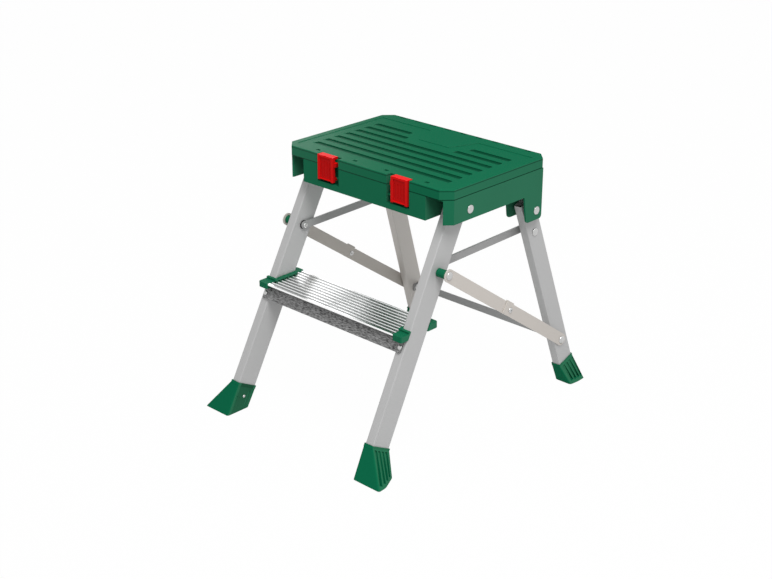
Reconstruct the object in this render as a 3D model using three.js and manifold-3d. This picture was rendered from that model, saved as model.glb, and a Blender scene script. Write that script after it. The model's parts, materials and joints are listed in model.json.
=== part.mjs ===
// A folding step stool: aluminium legs and tread under a moulded platform that is also a tool tray.
// Millimetres, +Z up, the front faces -Y. Pieces are drawn for the right side (+X) and mirrored.
// While drawing, Y is measured backwards from the platform's front edge and Z upwards from the floor.
import * as THREE from 'three';
import { mergeVertices } from 'three/addons/utils/BufferGeometryUtils.js';
import { ConvexGeometry } from 'three/addons/geometries/ConvexGeometry.js';
import Module from 'manifold-3d';

const wasm = await Module();
wasm.setup();

// The platform and the tread.
const platformWidth = 390;
const platformDepth = 271;
const platformHeight = 470;
const platformChamfer = 17.8;
const upperRise = 237;
const treadHeight = platformHeight - upperRise;
const treadDepth = 86;

// How the legs stand, in degrees from upright.
const frontLean = 27.77;
const rearLean = 18.38;
const frontSplay = 1.05;
const rearSplay = 3;

// Rectangular leg tubes.
const frontTube = { width: 18, depth: 43, wall: 1.6, corner: 2 };
const rearTube = { width: 17, depth: 38, wall: 1.4, corner: 1.6 };

// Pivots: back from the platform's front edge, down from its top, or down along a leg.
const frontPivotBack = 58.85;
const frontPivotDrop = 43.8;
const rearPivotBack = 240.55;
const rearPivotDrop = 94.2;
const lockPivotDown = 117;
const tiePivotDown = 51.4;
const crossbarHeight = 91.6;

// Clearances: between touching pieces, and round a turning shank.
const gap = 0.3;
const runningGap = 0.3;
const boltRadius = 4;
const boreRadius = boltRadius + runningGap;

// The moulded platform: a lid over a tray whose side cheeks hang outside the legs.
const lidHeight = 18.2;
const shellWall = 3;
const deckThickness = 2;
const trayHeight = 42.5;
const binInset = 48;
const clevisPad = 7;
const cheekDrop = 0.8;
const binRearBack = 252;
const cheekRearBack = 255.5;

// Places along X, outwards from the middle: tray, tie link, front leg and lock links.
const halfWidth = platformWidth / 2;
const cheekInside = halfWidth - shellWall;
const binHalf = halfWidth - binInset;
const clevisOutside = binHalf + clevisPad;
const tieClearance = 4;
const tieThickness = 3;
const tieInside = binHalf + tieClearance;
const tieOutside = tieInside + tieThickness;
const legPassGap = 0.6;
const rearLegInset = 8;
const pivotHeadHeight = 1.2;
const linkThickness = 2;
const linkPassGap = 0.5;
const frontLinkInside = halfWidth + gap + pivotHeadHeight + linkPassGap;
const frontLinkOutside = frontLinkInside + linkThickness;
const kneeInside = frontLinkOutside + gap;

const finishes = {
  green: { color: 0x1b6e4c, roughness: 0.5, metalness: 0 },
  footGreen: { color: 0x0d6546, roughness: 0.6, metalness: 0 },
  red: { color: 0xc41818, roughness: 0.35, metalness: 0 },
  tube: { color: 0xb4b4b4, roughness: 0.45, metalness: 0.3 },
  tread: { color: 0x9c9c9c, roughness: 0.35, metalness: 0.8 },
  link: { color: 0xc2bdb6, roughness: 0.5, metalness: 0.3 },
  bar: { color: 0x8e8e8e, roughness: 0.5, metalness: 0.3 },
  steel: { color: 0xd2d4d6, roughness: 0.3, metalness: 0.7 },
  washer: { color: 0x1c1c1c, roughness: 0.6, metalness: 0 },
};

// Faceting: sides of a round piece, steps of a rounded corner and of a domed head.
const roundSides = 16;
const cornerSteps = 3;
const domeSteps = 3;
const overrun = 5;
const weldDistance = 0.001;

const rad = THREE.MathUtils.degToRad;
const xAxis = new THREE.Vector3(1, 0, 0);
const yAxis = new THREE.Vector3(0, 1, 0);
const zAxis = new THREE.Vector3(0, 0, 1);

// An outline drawn for an axis has points [y, z] along X, [z, x] along Y and [x, y] along Z.
const drawnAlong = {
  x: new THREE.Matrix4().makeBasis(yAxis, zAxis, xAxis),
  y: new THREE.Matrix4().makeBasis(zAxis, xAxis, yAxis),
  z: new THREE.Matrix4(),
};

// A closed geometry as a solid that can be joined and cut, and back.
function toSolid(geometry) {
  const bare = geometry.clone();
  bare.deleteAttribute('normal');
  bare.deleteAttribute('uv');
  const merged = mergeVertices(bare, weldDistance);
  return new wasm.Manifold(new wasm.Mesh({
    numProp: 3,
    vertProperties: merged.attributes.position.array,
    triVerts: new Uint32Array(merged.index.array),
  }));
}

function toGeometry(solid) {
  const { vertProperties, triVerts } = solid.getMesh();
  const indexed = new THREE.BufferGeometry();
  indexed.setAttribute('position', new THREE.BufferAttribute(vertProperties, 3));
  indexed.setIndex(new THREE.BufferAttribute(triVerts, 1));
  const geometry = indexed.toNonIndexed();
  geometry.computeVertexNormals();
  return geometry;
}

function join(...pieces) {
  const [first, ...others] = pieces.map(toSolid);
  return toGeometry(others.reduce((whole, piece) => whole.add(piece), first));
}

function cut(piece, ...tools) {
  return toGeometry(tools.reduce((left, tool) => left.subtract(toSolid(tool)), toSolid(piece)));
}

const common = (a, b) => toGeometry(toSolid(a).intersect(toSolid(b)));

// The same piece on the other side, with its faces turned back outwards.
function mirrorX(geometry) {
  const mirrored = geometry.index ? geometry.toNonIndexed() : geometry.clone();
  const points = mirrored.applyMatrix4(new THREE.Matrix4().makeScale(-1, 1, 1)).attributes.position.array;
  for (let i = 0; i < points.length; i += 9) {
    for (let k = 0; k < 3; k += 1) {
      [points[i + 3 + k], points[i + 6 + k]] = [points[i + 6 + k], points[i + 3 + k]];
    }
  }
  return mirrored;
}

// A closed shape through corners [a, b, rounding]; without a rounding the corner is sharp.
function roundedShape(corners) {
  const shape = new THREE.Shape();
  corners.forEach(([a, b, rounding = 0], i) => {
    const corner = new THREE.Vector2(a, b);
    const before = new THREE.Vector2(...corners.at(i - 1));
    const after = new THREE.Vector2(...corners[(i + 1) % corners.length]);
    const enter = before.sub(corner).setLength(rounding).add(corner);
    const leave = after.sub(corner).setLength(rounding).add(corner);
    if (i === 0) shape.moveTo(enter.x, enter.y);
    else shape.lineTo(enter.x, enter.y);
    if (rounding > 0) shape.quadraticCurveTo(a, b, leave.x, leave.y);
  });
  return shape;
}

function extrude(axis, shape, from, to, steps = cornerSteps) {
  const geometry = new THREE.ExtrudeGeometry(shape, {
    depth: to - from,
    bevelEnabled: false,
    curveSegments: steps,
  });
  return geometry.translate(0, 0, from).applyMatrix4(drawnAlong[axis]);
}

const prism = (axis, corners, from, to) => extrude(axis, roundedShape(corners), from, to);

const ordered = (a, b) => [Math.min(a, b), Math.max(a, b)];

function block([x0, x1], [y0, y1], [z0, z1]) {
  return prism('z', [[x0, y0], [x1, y0], [x1, y1], [x0, y1]], z0, z1);
}

const rectangle = (halfA, halfB, rounding) => [
  [-halfA, -halfB, rounding], [halfA, -halfB, rounding],
  [halfA, halfB, rounding], [-halfA, halfB, rounding],
];

// A round bar along X, centred on a pivot [y, z].
function rod([y, z], radius, from, to) {
  const bar = new THREE.CylinderGeometry(radius, radius, to - from, roundSides);
  return bar.rotateZ(-Math.PI / 2).translate((from + to) / 2, y, z);
}

function sleeve(inner, outer, length) {
  const ring = new THREE.Shape().absarc(0, 0, outer, 0, 2 * Math.PI);
  ring.holes.push(new THREE.Path().absarc(0, 0, inner, 0, 2 * Math.PI, true));
  return extrude('x', ring, 0, length, roundSides);
}

// A turned rivet or bolt along +X: a tail below zero, a shank, and a domed head past its length.
function turnedPin({ shank, length, head, headHeight, tail = shank, tailHeight = 0 }) {
  const profile = [new THREE.Vector2(0, -tailHeight)];
  if (tailHeight > 0) profile.push(new THREE.Vector2(tail, -tailHeight), new THREE.Vector2(tail, 0));
  profile.push(new THREE.Vector2(shank, 0), new THREE.Vector2(shank, length));
  for (let i = 0; i < domeSteps; i += 1) {
    const turn = (i / domeSteps) * (Math.PI / 2);
    profile.push(new THREE.Vector2(head * Math.cos(turn), length + headHeight * Math.sin(turn)));
  }
  profile.push(new THREE.Vector2(0, length + headHeight));
  return new THREE.LatheGeometry(profile, roundSides).rotateZ(-Math.PI / 2);
}

const assembly = new THREE.Group();
const rightSide = new THREE.Group();
const leftSide = new THREE.Group();
leftSide.scale.x = -1;
assembly.add(rightSide, leftSide);

function addPiece(group, name, geometry, finish, position = [0, 0, 0], turn = [0, 0, 0, 'XYZ']) {
  const mesh = new THREE.Mesh(geometry, new THREE.MeshStandardMaterial(finish));
  mesh.name = name;
  mesh.position.set(...position);
  mesh.rotation.set(...turn);
  group.add(mesh);
}

function addPair(name, ...rest) {
  addPiece(rightSide, `${name}_right`, ...rest);
  addPiece(leftSide, `${name}_left`, ...rest);
}

// The legs. A leg's own frame has its length along Z and its top pivot at the origin.
function describeLeg({ tube, inside, back, height, leanDegrees, splayDegrees }) {
  const lean = rad(leanDegrees);
  const splay = rad(splayDegrees);
  const sideHalf = tube.width / 2 / Math.cos(splay);
  const pivot = new THREE.Vector3(inside + sideHalf, back, height);
  const turn = [-lean, -splay, 0, 'YXZ'];
  const matrix = new THREE.Matrix4().makeRotationFromEuler(new THREE.Euler(...turn)).setPosition(pivot);
  const centreX = (z) => pivot.x + (height - z) * Math.tan(splay);
  const centreY = (z) => back + (z - height) * Math.tan(lean);
  const faceHalf = tube.depth / 2 / Math.cos(lean);
  const toFloor = height / Math.cos(lean) / Math.cos(splay);
  return {
    tube, lean, pivot, turn, matrix, toFloor, centreX, centreY,
    frontY: (z) => centreY(z) - faceHalf,
    rearY: (z) => centreY(z) + faceHalf,
    along: (down) => [back - down * Math.sin(lean), height - down * Math.cos(lean)],
    insideFace: (z, reach = 0) => centreX(z) - sideHalf - reach * Math.tan(splay),
    outsideFace: (z, reach = 0) => centreX(z) + sideHalf + reach * Math.tan(splay),
  };
}

const frontLeg = describeLeg({
  tube: frontTube,
  inside: tieOutside + legPassGap,
  back: frontPivotBack,
  height: platformHeight - frontPivotDrop,
  leanDegrees: frontLean,
  splayDegrees: frontSplay,
});
const rearLeg = describeLeg({
  tube: rearTube,
  inside: clevisOutside + rearLegInset,
  back: rearPivotBack,
  height: platformHeight - rearPivotDrop,
  leanDegrees: -rearLean,
  splayDegrees: rearSplay,
});

// Pivots as [y, z]. The knee is where the two lock links meet, midway between their outer pivots.
const frontPivot = frontLeg.along(0);
const rearPivot = rearLeg.along(0);
const lockPivot = frontLeg.along(lockPivotDown);
const tiePivot = rearLeg.along(tiePivotDown);
const armPivot = [rearLeg.centreY(crossbarHeight), crossbarHeight];
const knee = [(lockPivot[0] + armPivot[0]) / 2, (lockPivot[1] + armPivot[1]) / 2];
const distance = (a, b) => Math.hypot(b[0] - a[0], b[1] - a[1]);
const heading = (a, b) => Math.atan2(b[1] - a[1], b[0] - a[0]);

// A bore along X through a whole leg, or through its inner wall only.
const boreReach = 40;
function boreThrough(leg, pivot) {
  const x = leg.centreX(pivot[1]);
  return rod(pivot, boreRadius, x - boreReach, x + boreReach);
}

// The tread's screws stand square to the legs' front faces.
const screwRadius = 2;
const screwHead = 4.4;
const screwHeadHeight = 2.2;
const screwBite = 5;
const screwDrop = 24;
const screwHeight = treadHeight - screwDrop;
const screwLift = (frontTube.depth / 2) * Math.sin(frontLeg.lean);
const screwDown = (frontLeg.pivot.z - screwHeight + screwLift) / Math.cos(frontLeg.lean);
const screwFace = -frontTube.depth / 2;

function alongLegDepth(leg, geometry, depth, down) {
  return geometry.rotateZ(-Math.PI / 2).translate(0, depth, -down).applyMatrix4(leg.matrix);
}

function screwRoom() {
  const bore = rod([0, 0], screwRadius + runningGap, 0, boreReach / 2);
  return alongLegDepth(frontLeg, bore, screwFace + screwBite, screwDown);
}

// Leg tubes stop short of the floor, inside their feet, and pass their top pivots a little.
const soleThickness = 6;
const frontLegAbove = 7;
const rearLegAbove = 13;
const legEndLift = (leg) => (
  (soleThickness + (leg.tube.depth / 2) * Math.abs(Math.sin(leg.lean))) / Math.cos(leg.lean)
);

function legTube(leg, above, bores) {
  const { width, depth, wall, corner } = leg.tube;
  const shape = roundedShape(rectangle(width / 2, depth / 2, corner));
  shape.holes.push(roundedShape(rectangle(width / 2 - wall, depth / 2 - wall, corner - wall)));
  const tube = extrude('z', shape, legEndLift(leg) - leg.toFloor, above);
  const toLeg = leg.matrix.clone().invert();
  return cut(tube, ...bores.map((bore) => bore.applyMatrix4(toLeg)));
}

// Room for a leg in its neighbours: the tube's outline with a clearance, in the stool's frame.
function legRoom(leg, from, to, outwards = 0) {
  const halfW = leg.tube.width / 2 + gap;
  const halfD = leg.tube.depth / 2 + gap;
  const corners = [
    [-halfW, -halfD], [halfW + outwards, -halfD], [halfW + outwards, halfD], [-halfW, halfD],
  ];
  return prism('z', corners, from, to).applyMatrix4(leg.matrix);
}

// Feet: a ring round the tube, then a flare down to a flat sole, with slots in the outer side.
// A sole's reaches are measured from where the leg's axis meets the floor.
const footWall = 1.9;
const footRing = 6;
const footCorner = 2.5;
const footSlots = 4;
const footSlotWidth = 6.2;
const footSlotDepth = 6;
const footThinWall = 0.8;
const footRim = 5;
const frontSole = {
  collar: 53.7, front: -25.5, rear: 26, inner: -10.4, corner: 5,
  flareFront: 51.5, flareMiddle: 50, flareRear: 34, middle: -7,
  slotPitch: 9.3, slotShift: -2,
};
const rearSole = {
  collar: 47, front: -22, rear: 21.5, inner: -9.7, corner: 5,
  flareFront: 26.5, flareMiddle: 29, flareRear: 28, middle: -2,
  slotPitch: 8.7, slotShift: 2,
};

function footBody(leg, sole) {
  const halfW = leg.tube.width / 2 + footWall;
  const halfD = leg.tube.depth / 2 + footWall;
  const collarZ = sole.collar - leg.toFloor;
  const ring = prism('z', rectangle(halfW, halfD, footCorner), collarZ - footRing, collarZ);
  const flareTop = roundedShape(rectangle(halfW - gap, halfD - gap, footCorner)).getPoints(cornerSteps)
    .map(({ x, y }) => new THREE.Vector3(x, y, collarZ - footRing / 2).applyMatrix4(leg.matrix));
  const { front, rear, inner, corner, flareFront, flareMiddle, flareRear, middle } = sole;
  const outline = [
    [inner, front, corner], [flareFront, front, corner], [flareMiddle, middle, corner],
    [flareRear, rear, corner], [inner, rear, corner],
  ];
  const bottom = roundedShape(outline).getPoints(cornerSteps)
    .map(({ x, y }) => new THREE.Vector3(leg.centreX(0) + x, leg.centreY(0) + y, 0));
  return join(ring.applyMatrix4(leg.matrix), new ConvexGeometry([...flareTop, ...bottom]));
}

function flareAt({ front, middle, rear, flareFront, flareMiddle, flareRear }, back) {
  return back < middle
    ? THREE.MathUtils.mapLinear(back, front, middle, flareFront, flareMiddle)
    : THREE.MathUtils.mapLinear(back, middle, rear, flareMiddle, flareRear);
}

// A slot lies in a plane along the leg and follows the flare from under the ring to the sole's rim.
function footSlot(leg, sole, index) {
  const middle = sole.slotShift + (index - (footSlots - 1) / 2) * sole.slotPitch;
  const floorRise = middle * Math.tan(leg.lean);
  const flare = flareAt(sole, middle / Math.cos(leg.lean));
  const wallX = leg.tube.width / 2 + footWall;
  const slope = (flare - wallX) / (sole.collar - footRing - floorRise);
  const deepest = wallX - footWall + gap + footThinWall;
  const lowX = flare - footRim * slope;
  const topZ = sole.collar - footRing - leg.toFloor;
  const lowZ = floorRise + footRim - leg.toFloor;
  const corners = [
    [topZ, deepest], [lowZ, Math.max(lowX - footSlotDepth, deepest)],
    [lowZ, lowX + overrun], [topZ, wallX + overrun],
  ];
  const half = footSlotWidth / 2;
  return prism('y', corners, middle - half, middle + half).applyMatrix4(leg.matrix);
}

// A small pin holds each foot on its tube, from the inner side.
const footPin = { shank: 1.8, length: 4, head: 2.8, headHeight: 0.8 };
const footPinHeight = 27;

function footPinRoom(leg) {
  const radius = footPin.shank + runningGap;
  const pivot = [leg.centreY(footPinHeight), footPinHeight];
  const x = leg.centreX(footPinHeight);
  return rod(pivot, radius, x - boreReach, x);
}

function addFoot(end, leg, sole) {
  const slots = Array.from({ length: footSlots }, (_, index) => footSlot(leg, sole, index));
  const room = legRoom(leg, legEndLift(leg) - leg.toFloor - gap, overrun);
  const foot = cut(footBody(leg, sole), room, footPinRoom(leg), ...slots);
  addPair(`${end}_foot`, foot, finishes.footGreen);
  const seat = leg.insideFace(footPinHeight) - footWall - gap + footPin.length;
  const place = [seat, leg.centreY(footPinHeight), footPinHeight];
  addPair(`foot_pin_${end}`, turnedPin(footPin).rotateY(Math.PI), finishes.steel, place);
}

const frontBores = [
  boreThrough(frontLeg, frontPivot), boreThrough(frontLeg, lockPivot), screwRoom(), footPinRoom(frontLeg),
];
const rearBores = [
  boreThrough(rearLeg, rearPivot), boreThrough(rearLeg, tiePivot), boreThrough(rearLeg, armPivot),
  footPinRoom(rearLeg),
];
const legPlace = (leg) => [leg.pivot.toArray(), leg.turn];
addPair('front_leg', legTube(frontLeg, frontLegAbove, frontBores), finishes.tube, ...legPlace(frontLeg));
addPair('rear_leg', legTube(rearLeg, rearLegAbove, rearBores), finishes.tube, ...legPlace(rearLeg));
addFoot('front', frontLeg, frontSole);
addFoot('rear', rearLeg, rearSole);

// The tread: a ridged plate with a rear lip and a front flange that covers the legs' front faces.
const treadEndGap = 2.7;
const treadNoseReach = 20.3;
const treadPlate = 3.4;
const ridgeCount = 10;
const ridgeHeight = 1.2;
const ridgeShare = 0.5;
const rearLipDrop = 22;
const rearLipWall = 2.4;
const flangeThickness = 3.2;
const flangeDrop = 31;
const flangeEndDrop = 12.5;
const flangeInset = 5.5;

const treadNose = frontLeg.frontY(treadHeight) - treadNoseReach;
const treadRear = treadNose + treadDepth;
const treadEnd = frontLeg.insideFace(treadHeight) - treadEndGap;
const flangeBack = (z) => frontLeg.frontY(z) - gap / Math.cos(frontLeg.lean);
const flangeFront = (z) => flangeBack(z) - flangeThickness / Math.cos(frontLeg.lean);

function ridgedTop() {
  const ridgeWidth = (treadDepth * ridgeShare) / ridgeCount;
  const pitch = (treadDepth - ridgeWidth) / (ridgeCount - 1);
  const valley = treadHeight - ridgeHeight;
  const points = [];
  for (let i = 0; i < ridgeCount; i += 1) {
    const start = treadNose + i * pitch;
    if (i > 0) points.push([start, valley]);
    points.push([start, treadHeight], [start + ridgeWidth, treadHeight]);
    if (i < ridgeCount - 1) points.push([start + ridgeWidth, valley]);
  }
  return points;
}

function addTread() {
  const under = treadHeight - treadPlate;
  const flangeLow = treadHeight - flangeDrop;
  const flangeHigh = treadHeight - flangeEndDrop;
  const lipLow = treadHeight - rearLipDrop;
  const profile = [
    ...ridgedTop(),
    [treadRear, lipLow], [treadRear - rearLipWall, lipLow], [treadRear - rearLipWall, under],
    [flangeBack(under), under], [flangeBack(flangeLow), flangeLow],
    [flangeFront(flangeLow), flangeLow], [flangeFront(under), under], [treadNose, under],
  ];
  const flange = [
    [flangeBack(flangeHigh), flangeHigh], [flangeBack(flangeLow), flangeLow],
    [flangeFront(flangeLow), flangeLow], [flangeFront(flangeHigh), flangeHigh],
  ];
  const flangeHalf = frontLeg.outsideFace(treadHeight) - flangeInset;
  const plate = prism('x', profile, -treadEnd, treadEnd);
  const ends = prism('x', flange, -flangeHalf, flangeHalf);
  const tread = cut(join(plate, ends), screwRoom(), mirrorX(screwRoom()));
  addPiece(assembly, 'step_tread', tread, finishes.tread);
}

addTread();

const screwSeat = flangeThickness + gap + gap;
const treadPin = turnedPin({
  shank: screwRadius,
  length: screwBite + screwSeat,
  head: screwHead,
  headHeight: screwHeadHeight,
});
const treadScrew = alongLegDepth(frontLeg, treadPin, screwFace + screwBite, screwDown);
addPair('tread_screw', treadScrew, finishes.steel);

// Brackets: moulded collars that fill the space between the tread's ends and the front legs.
const bracketDrop = 10;
const bracketRise = 0.6;
const bracketOverhang = 2.5;
const bracketSide = 1.5;
const bracketTail = 4.5;
const bracketTailCorner = 7;
const bracketCorner = 4;
const collarRise = 4;
const collarMargin = 4;
const collarLip = 3;
const cheekPlateDrop = 27;
const cheekPlateInset = 3;

function addBrackets() {
  const inner = treadEnd + gap;
  const outer = frontLeg.outsideFace(treadHeight) + bracketSide;
  const front = treadNose - bracketOverhang;
  const rear = treadRear + bracketTail;
  const legRear = frontLeg.rearY(treadHeight);
  const tab = [
    [inner, front, bracketCorner], [outer, front, bracketCorner],
    [outer, rear, bracketTailCorner], [inner, rear, bracketCorner],
  ];
  const top = treadHeight + bracketRise;
  const ring = [
    [treadEnd - collarLip, frontLeg.frontY(treadHeight) - collarMargin, bracketCorner / 2],
    [outer, frontLeg.frontY(treadHeight) - collarMargin, bracketCorner / 2],
    [outer, legRear + collarMargin, bracketCorner / 2],
    [treadEnd - collarLip, legRear + collarMargin, bracketCorner / 2],
  ];
  const plateLow = treadHeight - cheekPlateDrop;
  const plate = [
    [frontLeg.frontY(top) + cheekPlateInset, top],
    [frontLeg.frontY(plateLow) + cheekPlateInset, plateLow],
    [frontLeg.rearY(plateLow) - cheekPlateInset, plateLow],
    [frontLeg.rearY(top) - cheekPlateInset, top],
  ];
  const body = join(
    prism('z', tab, treadHeight - bracketDrop, top),
    prism('z', ring, treadHeight + gap, treadHeight + collarRise),
    prism('x', plate, inner, frontLeg.insideFace(treadHeight) - gap),
  );
  const room = legRoom(frontLeg, -frontLeg.toFloor, overrun, overrun * 2);
  addPair('tread_bracket', cut(body, room), finishes.green);
}
addBrackets();

// The lock bolts carry the tie links inside the front legs; a rivet outside carries each lock link.
const spacerRadius = 7.7;
const washerRadius = 8.2;
const pivotHead = 7.5;
const lockHeadHeight = 3.2;
const innerHead = 5;
const innerHeadHeight = 2.6;

function addLockBolts() {
  const [y, z] = lockPivot;
  const end = frontLinkInside - gap;
  const bolt = turnedPin({
    shank: boltRadius,
    length: end - tieInside + gap,
    head: innerHead,
    headHeight: innerHeadHeight,
  }).rotateY(Math.PI);
  addPair('lock_bolt', bolt, finishes.steel, [end, y, z]);
  const rivet = turnedPin({
    shank: boltRadius,
    length: linkThickness + gap,
    head: pivotHead,
    headHeight: lockHeadHeight,
  });
  addPair('lock_rivet', rivet, finishes.steel, [frontLinkInside, y, z]);
  const spacerStart = frontLeg.outsideFace(z, spacerRadius) + gap;
  const spacer = sleeve(boreRadius, spacerRadius, end - spacerStart);
  addPair('lock_spacer', spacer, finishes.green, [spacerStart, y, z]);
  const washerStart = tieOutside + gap;
  const washerEnd = frontLeg.insideFace(z, washerRadius) - gap;
  const washer = sleeve(boreRadius, washerRadius, washerEnd - washerStart);
  addPair('tie_washer', washer, finishes.washer, [washerStart, y, z]);
}
addLockBolts();

// Flat links with round ends: a link's own frame has its first pivot at the origin and runs along +Y.
const tieWidth = 14;
const lockWidth = 23;
const kneeRadius = 3;

function barOutline(start, end, width, bores) {
  const half = width / 2;
  const shape = new THREE.Shape();
  shape.absarc(end, 0, half, -Math.PI / 2, Math.PI / 2);
  shape.absarc(start, 0, half, Math.PI / 2, (Math.PI * 3) / 2);
  bores.forEach(([at, radius]) => {
    shape.holes.push(new THREE.Path().absarc(at, 0, radius, 0, 2 * Math.PI, true));
  });
  return shape;
}

function addTieLinks() {
  const span = distance(lockPivot, tiePivot);
  const outline = barOutline(0, span, tieWidth, [[0, boreRadius], [span, boreRadius]]);
  const link = extrude('x', outline, 0, tieThickness, roundSides);
  const turn = heading(lockPivot, tiePivot);
  addPair('tie_link', link, finishes.bar, [tieInside, ...lockPivot], [turn, 0, 0, 'XYZ']);
}
addTieLinks();

// A tie link's rear rivet shows its head inside; a stud and a bush on the rear leg meet it.
const tieRivetHead = 5.5;
const tieRivetHeadHeight = 1.6;
const bushRadius = 6.4;
const studHeadHeight = 2.8;

function addTieEnds() {
  const [y, z] = tiePivot;
  const rivet = turnedPin({
    shank: boltRadius,
    length: tieThickness + gap,
    head: tieRivetHead,
    headHeight: tieRivetHeadHeight,
  }).rotateY(Math.PI);
  addPair('tie_rivet', rivet, finishes.steel, [tieOutside, y, z]);
  const start = tieOutside + gap;
  const stud = turnedPin({
    shank: boltRadius,
    length: rearLeg.outsideFace(z, pivotHead) + gap - start,
    head: pivotHead,
    headHeight: studHeadHeight,
  });
  addPair('tie_stud', stud, finishes.steel, [start, y, z]);
  const bush = sleeve(boreRadius, bushRadius, rearLeg.insideFace(z, bushRadius) - gap - start);
  addPair('tie_bush', bush, finishes.steel, [start, y, z]);
}
addTieEnds();

// Lock links: the front one is flat, the rear one is bent outwards to pass outside it at the knee.
// The bend ends before the front link's reach, so that the two fold flat against each other.
const bendStart = 15;
const bendEnd = 100;
const stopOverhang = 18;
const stopLength = 21;
const stopThickness = 2;
const kneeHead = 5.2;
const kneeHeadHeight = 2.2;
const kneeInnerHeadHeight = 1.1;

function addFrontLockLinks() {
  const span = distance(lockPivot, knee);
  const outline = barOutline(0, span, lockWidth, [[0, boreRadius], [span, kneeRadius + runningGap]]);
  const link = extrude('x', outline, 0, linkThickness, roundSides);
  const turn = heading(lockPivot, knee);
  addPair('lock_link_front', link, finishes.link, [frontLinkInside, ...lockPivot], [turn, 0, 0, 'XYZ']);
  const rivet = turnedPin({
    shank: kneeRadius,
    length: linkThickness + gap,
    head: kneeHead,
    headHeight: kneeInnerHeadHeight,
  }).rotateY(Math.PI);
  addPair('knee_rivet', rivet, finishes.steel, [frontLinkOutside, ...knee]);
}
addFrontLockLinks();

const armStart = rearLeg.outsideFace(armPivot[1], lockWidth / 2) + gap;

// Round at its rear pivot, square in front of the knee, where a raised stop tab is bent inwards.
function stopLinkOutline(length, bores) {
  const half = lockWidth / 2;
  const end = length + stopOverhang;
  const raised = -half - gap - stopThickness;
  const shape = new THREE.Shape();
  shape.absarc(0, 0, half, Math.PI / 2, (Math.PI * 3) / 2);
  shape.lineTo(end - stopLength, -half);
  shape.lineTo(end - stopLength, raised);
  shape.lineTo(end, raised);
  shape.lineTo(end, half);
  bores.forEach(([at, radius]) => {
    shape.holes.push(new THREE.Path().absarc(at, 0, radius, 0, 2 * Math.PI, true));
  });
  return shape;
}

function addRearLockLinks() {
  const span = distance(armPivot, knee);
  const step = kneeInside - armStart;
  const end = span + stopOverhang;
  const half = lockWidth / 2;
  const bent = [
    [0, -half - overrun], [linkThickness, -half - overrun],
    [linkThickness, bendStart], [step + linkThickness, bendEnd],
    [step + linkThickness, end + overrun], [step, end + overrun],
    [step, bendEnd], [0, bendStart],
  ];
  const bores = [[0, boreRadius], [span, kneeRadius + runningGap]];
  const outline = stopLinkOutline(span, bores);
  const side = extrude('x', outline, -overrun, step + linkThickness + overrun, roundSides);
  const bar = common(prism('z', bent, -lockWidth, lockWidth), side);
  const tabTop = -half - gap;
  const tab = block(
    [step - linkThickness - gap, step + linkThickness],
    [end - stopLength, end],
    [tabTop - stopThickness, tabTop],
  );
  const turn = [heading(armPivot, knee), 0, 0, 'XYZ'];
  addPair('lock_link_rear', join(bar, tab), finishes.link, [armStart, ...armPivot], turn);
  const screw = turnedPin({
    shank: kneeRadius,
    length: linkThickness + gap,
    head: kneeHead,
    headHeight: kneeHeadHeight,
  });
  addPair('knee_screw', screw, finishes.steel, [kneeInside, ...knee]);
}
addRearLockLinks();

// The crossbar joins the rear legs: a flat bar whose ends are bent forward as riveted tabs.
const barThickness = 2;
const barHeight = 15;
const barTabReach = 8;

function addCrossbar() {
  const [y, z] = armPivot;
  const end = rearLeg.insideFace(z, barHeight / 2) - gap;
  const rear = y + barTabReach;
  const heights = [z - barHeight / 2, z + barHeight / 2];
  const tabs = [-1, 1].map((side) => {
    const faces = ordered(side * end, side * (end - barThickness));
    return cut(
      block(faces, [y - barTabReach, rear], heights),
      rod(armPivot, boreRadius, faces[0] - overrun, faces[1] + overrun),
    );
  });
  const bar = join(block([-end, end], [rear - barThickness, rear], heights), ...tabs);
  addPiece(assembly, 'rear_crossbar', bar, finishes.bar);
  const start = end - barThickness - gap;
  const rivet = turnedPin({
    shank: boltRadius,
    length: armStart + linkThickness + gap - start,
    head: pivotHead,
    headHeight: lockHeadHeight,
    tail: innerHead,
    tailHeight: innerHeadHeight,
  });
  addPair('arm_rivet', rivet, finishes.steel, [start, y, z]);
}
addCrossbar();

// The tray: a bin with two latch recesses, cheeks outside the legs, and clevises at the rear pivots.
const seam = platformHeight - lidHeight;
const deckTop = seam - gap;
const binFloor = deckTop - trayHeight;
const recessStart = 57.9;
const recessWidth = 52.3;
const recessDepth = 12;
const recessRise = 11;
const slotMouth = 13;
const cheekFront = platformChamfer;
const cheekLow = binFloor - cheekDrop;
const cheekPadRear = 80;
const tabFront = 205.5;
const tabFrontFoot = 212;
const tabBelowPivot = 17.3;
const tabCorner = 7;
const apronDepth = 26;
const bossRadius = 9;
const innerBossRadius = 7;
const recessEnd = recessStart + recessWidth;

function binBody() {
  const bottom = binFloor;
  const outside = block([-binHalf, binHalf], [0, binRearBack], [bottom, deckTop]);
  const inside = block(
    [shellWall - binHalf, binHalf - shellWall],
    [shellWall, binRearBack - shellWall],
    [bottom + shellWall, deckTop + overrun],
  );
  const wells = [-1, 1].map((side) => {
    const sides = ordered(side * (recessStart - shellWall), side * (recessEnd + shellWall));
    return block(sides, [0, recessDepth + shellWall], [bottom + recessRise - shellWall, deckTop]);
  });
  const recesses = [-1, 1].map((side) => {
    const sides = ordered(side * recessStart, side * recessEnd);
    return block(sides, [-overrun, recessDepth], [bottom + recessRise, deckTop + overrun]);
  });
  return cut(join(cut(outside, inside), ...wells), ...recesses);
}

// A rear ear in outline, hanging below the cheek round the rear pivot.
function earOutline(top) {
  const low = rearPivot[1] - tabBelowPivot;
  return [
    [tabFront, top], [tabFront, cheekLow], [tabFrontFoot, low, tabCorner],
    [cheekRearBack, low, tabCorner], [cheekRearBack, top],
  ];
}

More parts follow.
